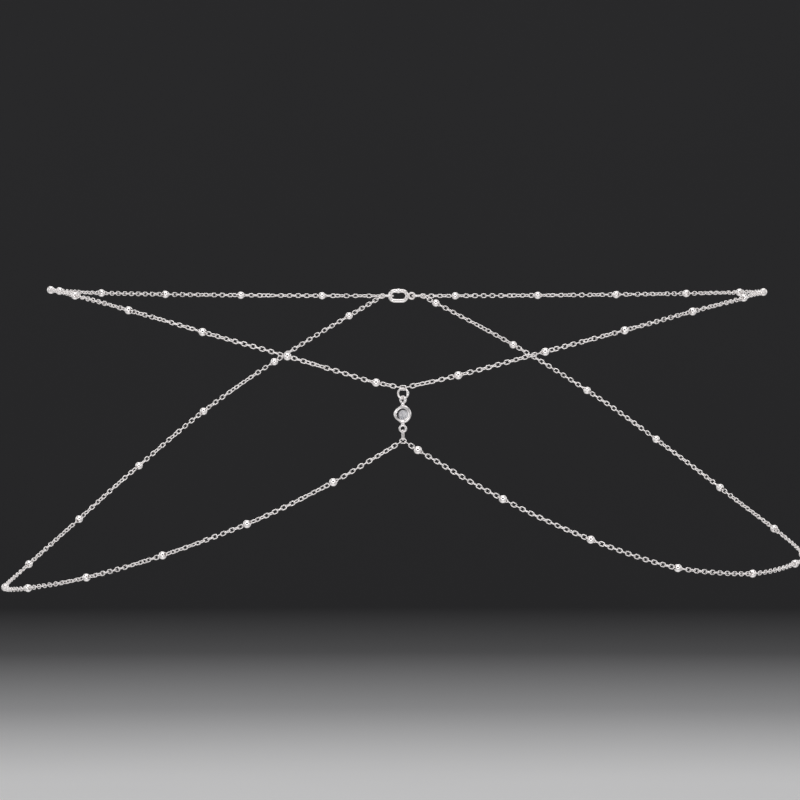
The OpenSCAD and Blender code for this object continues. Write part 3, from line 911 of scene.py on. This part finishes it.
def soldered_loop(name, center, turn, lump):
    """Ring of wire with a lump of solder that has run up its right side."""
    line = arc_line((LOOP_D - LOOP_WIRE) / 2, LOOP_BENDS)
    radii = []
    for point in line:
        from_lump = math.atan2(point.z, point.x) - LUMP_AT
        radii.append(LOOP_WIRE / 2 + lump * math.exp(-(from_lump / LUMP_SPAN) ** 2))
    points, faces = tube(line, radii, LOOP_SIDES, FORWARD)
    return add_mesh(name, placed(points, center, turn), faces)


def solder_neck(name, start, end):
    """Short neck of solder that runs out into the loop and, wider, over the cup's wall."""
    path, radii = [], []
    for i in range(NECK_STEPS + 1):
        t = i / NECK_STEPS
        path.append(start.lerp(end, t))
        radii.append(NECK_D / 2 + NECK_TOP * (1 - t) ** 4 + NECK_FOOT * t ** 6)
    points, faces = tube(path, radii, NECK_SIDES, FORWARD, closed=False)
    points = [Vector((p.x, start.y + (p.y - start.y) * NECK_FLAT, p.z)) for p in points]
    return add_mesh(name, points, faces)


def setting():
    """Cup, two loops and their necks, soldered into one."""
    center = middle("crystal_setting")
    center.y = middle("lower_center_link").y  # its girdle is in line with the links, its box's middle isn't
    cup_r = STONE_R + STONE_GAP + CUP_WALL
    loop_r = (LOOP_D - LOOP_WIRE) / 2
    loop_z = cup_r + NECK_LEN + LOOP_D / 2
    parts = [bezel_cup(center)]
    for way, turn, lump in ((1, -LOOP_TURN, TOP_LUMP), (-1, 0, LOW_LUMP)):
        parts.append(soldered_loop("loop", center + UP * way * loop_z, turn, lump))
        parts.append(solder_neck("neck", center + UP * way * (loop_z - loop_r),
                                 center + UP * way * (cup_r - CUP_WALL * NECK_SUNK)))
    made = joined("setting_with_loops", parts, SETTING_SILVER)
    stand_in(made, "setting", "crystal_setting")


def clasp_and_rings():
    """Rings that gather the strands, and a plain closed clasp between them."""
    for node in ("left_end_ring", "right_end_ring"):
        line = arc_line((END_RING_D - END_RING_WIRE) / 2, END_RING_BENDS)
        points, faces = plain_wire(line, END_RING_WIRE, END_RING_SIDES)
        points = [Vector((p.x, p.z, p.y)) for p in points]
        name = node.replace("end", "gathering")
        ring = add_mesh(name, placed(points, middle(node)), faces, FINDING_SILVER)
        stand_in(ring, "findings", node)
    hook_low, hook_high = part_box("clasp")
    center_y, center_z = middle("left_end_ring").y, middle("left_end_ring").z
    hook_center = Vector((hook_low.x + HOOK_LEN / 2, center_y, center_z))
    eye_center = Vector((hook_high.x - EYE_D / 2, center_y, center_z))
    line = oval_line(HOOK_LEN, HOOK_H, HOOK_WIRE, HOOK_BENDS)
    points, faces = plain_wire(line, HOOK_WIRE, HOOK_SIDES)
    hook = add_mesh("hook", placed(points, hook_center), faces)
    line = arc_line((EYE_D - EYE_WIRE) / 2, EYE_BENDS)
    points, faces = plain_wire(line, EYE_WIRE, EYE_SIDES)
    eye = add_mesh("eye", placed(points, eye_center), faces)
    arc = [math.pi * i / NUB_ROWS for i in range(NUB_ROWS + 1)]
    ball = [(NUB_D / 2 * math.sin(a), NUB_D / 2 * math.cos(a)) for a in arc]
    points, faces = lathe(ball, NUB_SIDES)
    nub = add_mesh("nub", placed(points, hook_center + UP * (HOOK_H - HOOK_WIRE) / 2), faces)
    made = joined("closed_clasp", [hook, eye, nub], FINDING_SILVER)
    stand_in(made, "findings", "clasp")


front_links()
jump_ring()
setting()
clasp_and_rings()

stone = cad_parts["crystal_stone"]
stone.data.materials.clear()
stone.data.materials.append(CRYSTAL)


# Stage, lights and camera

def studio():
    """Round paper cove: a flat pale floor that curves up into a wall on every side."""
    floor_r, wall_r, wall_h, steps, sides = 2.9, 3.9, 3.4, 24, 96
    bend = wall_r - floor_r
    arc = [QUARTER * i / steps for i in range(steps + 1)]
    profile = [(0, FLOOR_Z), (floor_r * 0.5, FLOOR_Z)]
    profile += [(floor_r + bend * math.sin(a), FLOOR_Z + bend * (1 - math.cos(a))) for a in arc]
    profile.append((wall_r, FLOOR_Z + wall_h))
    points, faces = lathe(profile, sides)
    mesh = bpy.data.meshes.new("paper_cove")
    mesh.from_pydata([tuple(p) for p in points], [], faces)
    mesh.shade_smooth()
    mesh.materials.append(shaded_paper())
    add_object("paper_cove", mesh)


def aim(thing, place, target):
    thing.location = place
    thing.rotation_euler = (Vector(target) - Vector(place)).to_track_quat("-Z", "Y").to_euler()


def softbox(name, turn, lift, distance, width, height, glow, spread):
    """Lit panel turned to the chain, at a turn from the camera's side and a lift above level, in degrees.

    Its glow is its brightness in a mirror, where 1 is white. A narrow spread keeps its light off the floor.
    """
    light = bpy.data.lights.new(name, "AREA")
    light.shape = "RECTANGLE"
    light.size, light.size_y = width, height
    light.energy = glow * math.pi * width * height
    light.spread = math.radians(spread)
    panel = add_object(name, light)
    panel.visible_camera = False
    turn, lift = math.radians(turn), math.radians(lift)
    way = Vector((math.sin(turn) * math.cos(lift), -math.cos(turn) * math.cos(lift), math.sin(lift)))
    target = Vector((0, 0, -0.05))
    aim(panel, target + way * distance, target)


# Softboxes: name, turn, lift, distance, width, height, glow, spread, with all angles in degrees
SOFTBOXES = [
    ("front_left", -44, 15, 1.7, 1.4, 1.3, 1.15, 180),
    ("front_right", 44, 15, 1.7, 1.4, 1.3, 1.1, 180),
    ("front_top", 0, 64, 1.7, 2.2, 1.4, 1.6, 180),
    ("front_low", 0, -20, 0.85, 1.1, 0.4, 0.25, 60),
    ("below", 0, -89, 0.3, 0.9, 0.7, 0.2, 120),
    ("side_left", -100, 16, 1.7, 1.4, 1.3, 0.9, 180),
    ("side_right", 100, 16, 1.7, 1.4, 1.3, 0.9, 180),
    ("back_left", -148, 16, 1.9, 1.4, 1.4, 1.0, 180),
    ("back_right", 148, 16, 1.9, 1.4, 1.4, 1.0, 180),
    ("back_top", 180, 60, 1.9, 2.2, 1.2, 1.2, 180)]


def lights():
    """Tent of softboxes with a panel below it, open only round the camera and low behind."""
    for row in SOFTBOXES:
        softbox(*row)
    world = bpy.data.worlds.new("room")
    bpy.context.scene.world = world
    world.use_nodes = True
    sky = world.node_tree.nodes["Background"]
    sky.inputs["Color"].default_value = (1.0, 0.98, 0.96, 1)
    sky.inputs["Strength"].default_value = 0.2


def camera():
    """Level view from in front, as wide as the photograph at the front of the waist."""
    distance, view_w, view_x, view_z = 1.8, 0.296, -1.1 * MM, -43 * MM
    lens = bpy.data.cameras.new("camera")
    lens.sensor_width = 36
    lens.lens = lens.sensor_width * distance / view_w
    lens.clip_end = 50
    eye = add_object("camera", lens)
    place = Vector((view_x, -FRONT_DEPTH - distance, view_z))
    aim(eye, place, place + Vector((0, 1, 0)))
    bpy.context.scene.camera = eye


studio()
lights()
camera()
bpy.context.scene.view_settings.view_transform = "Standard"
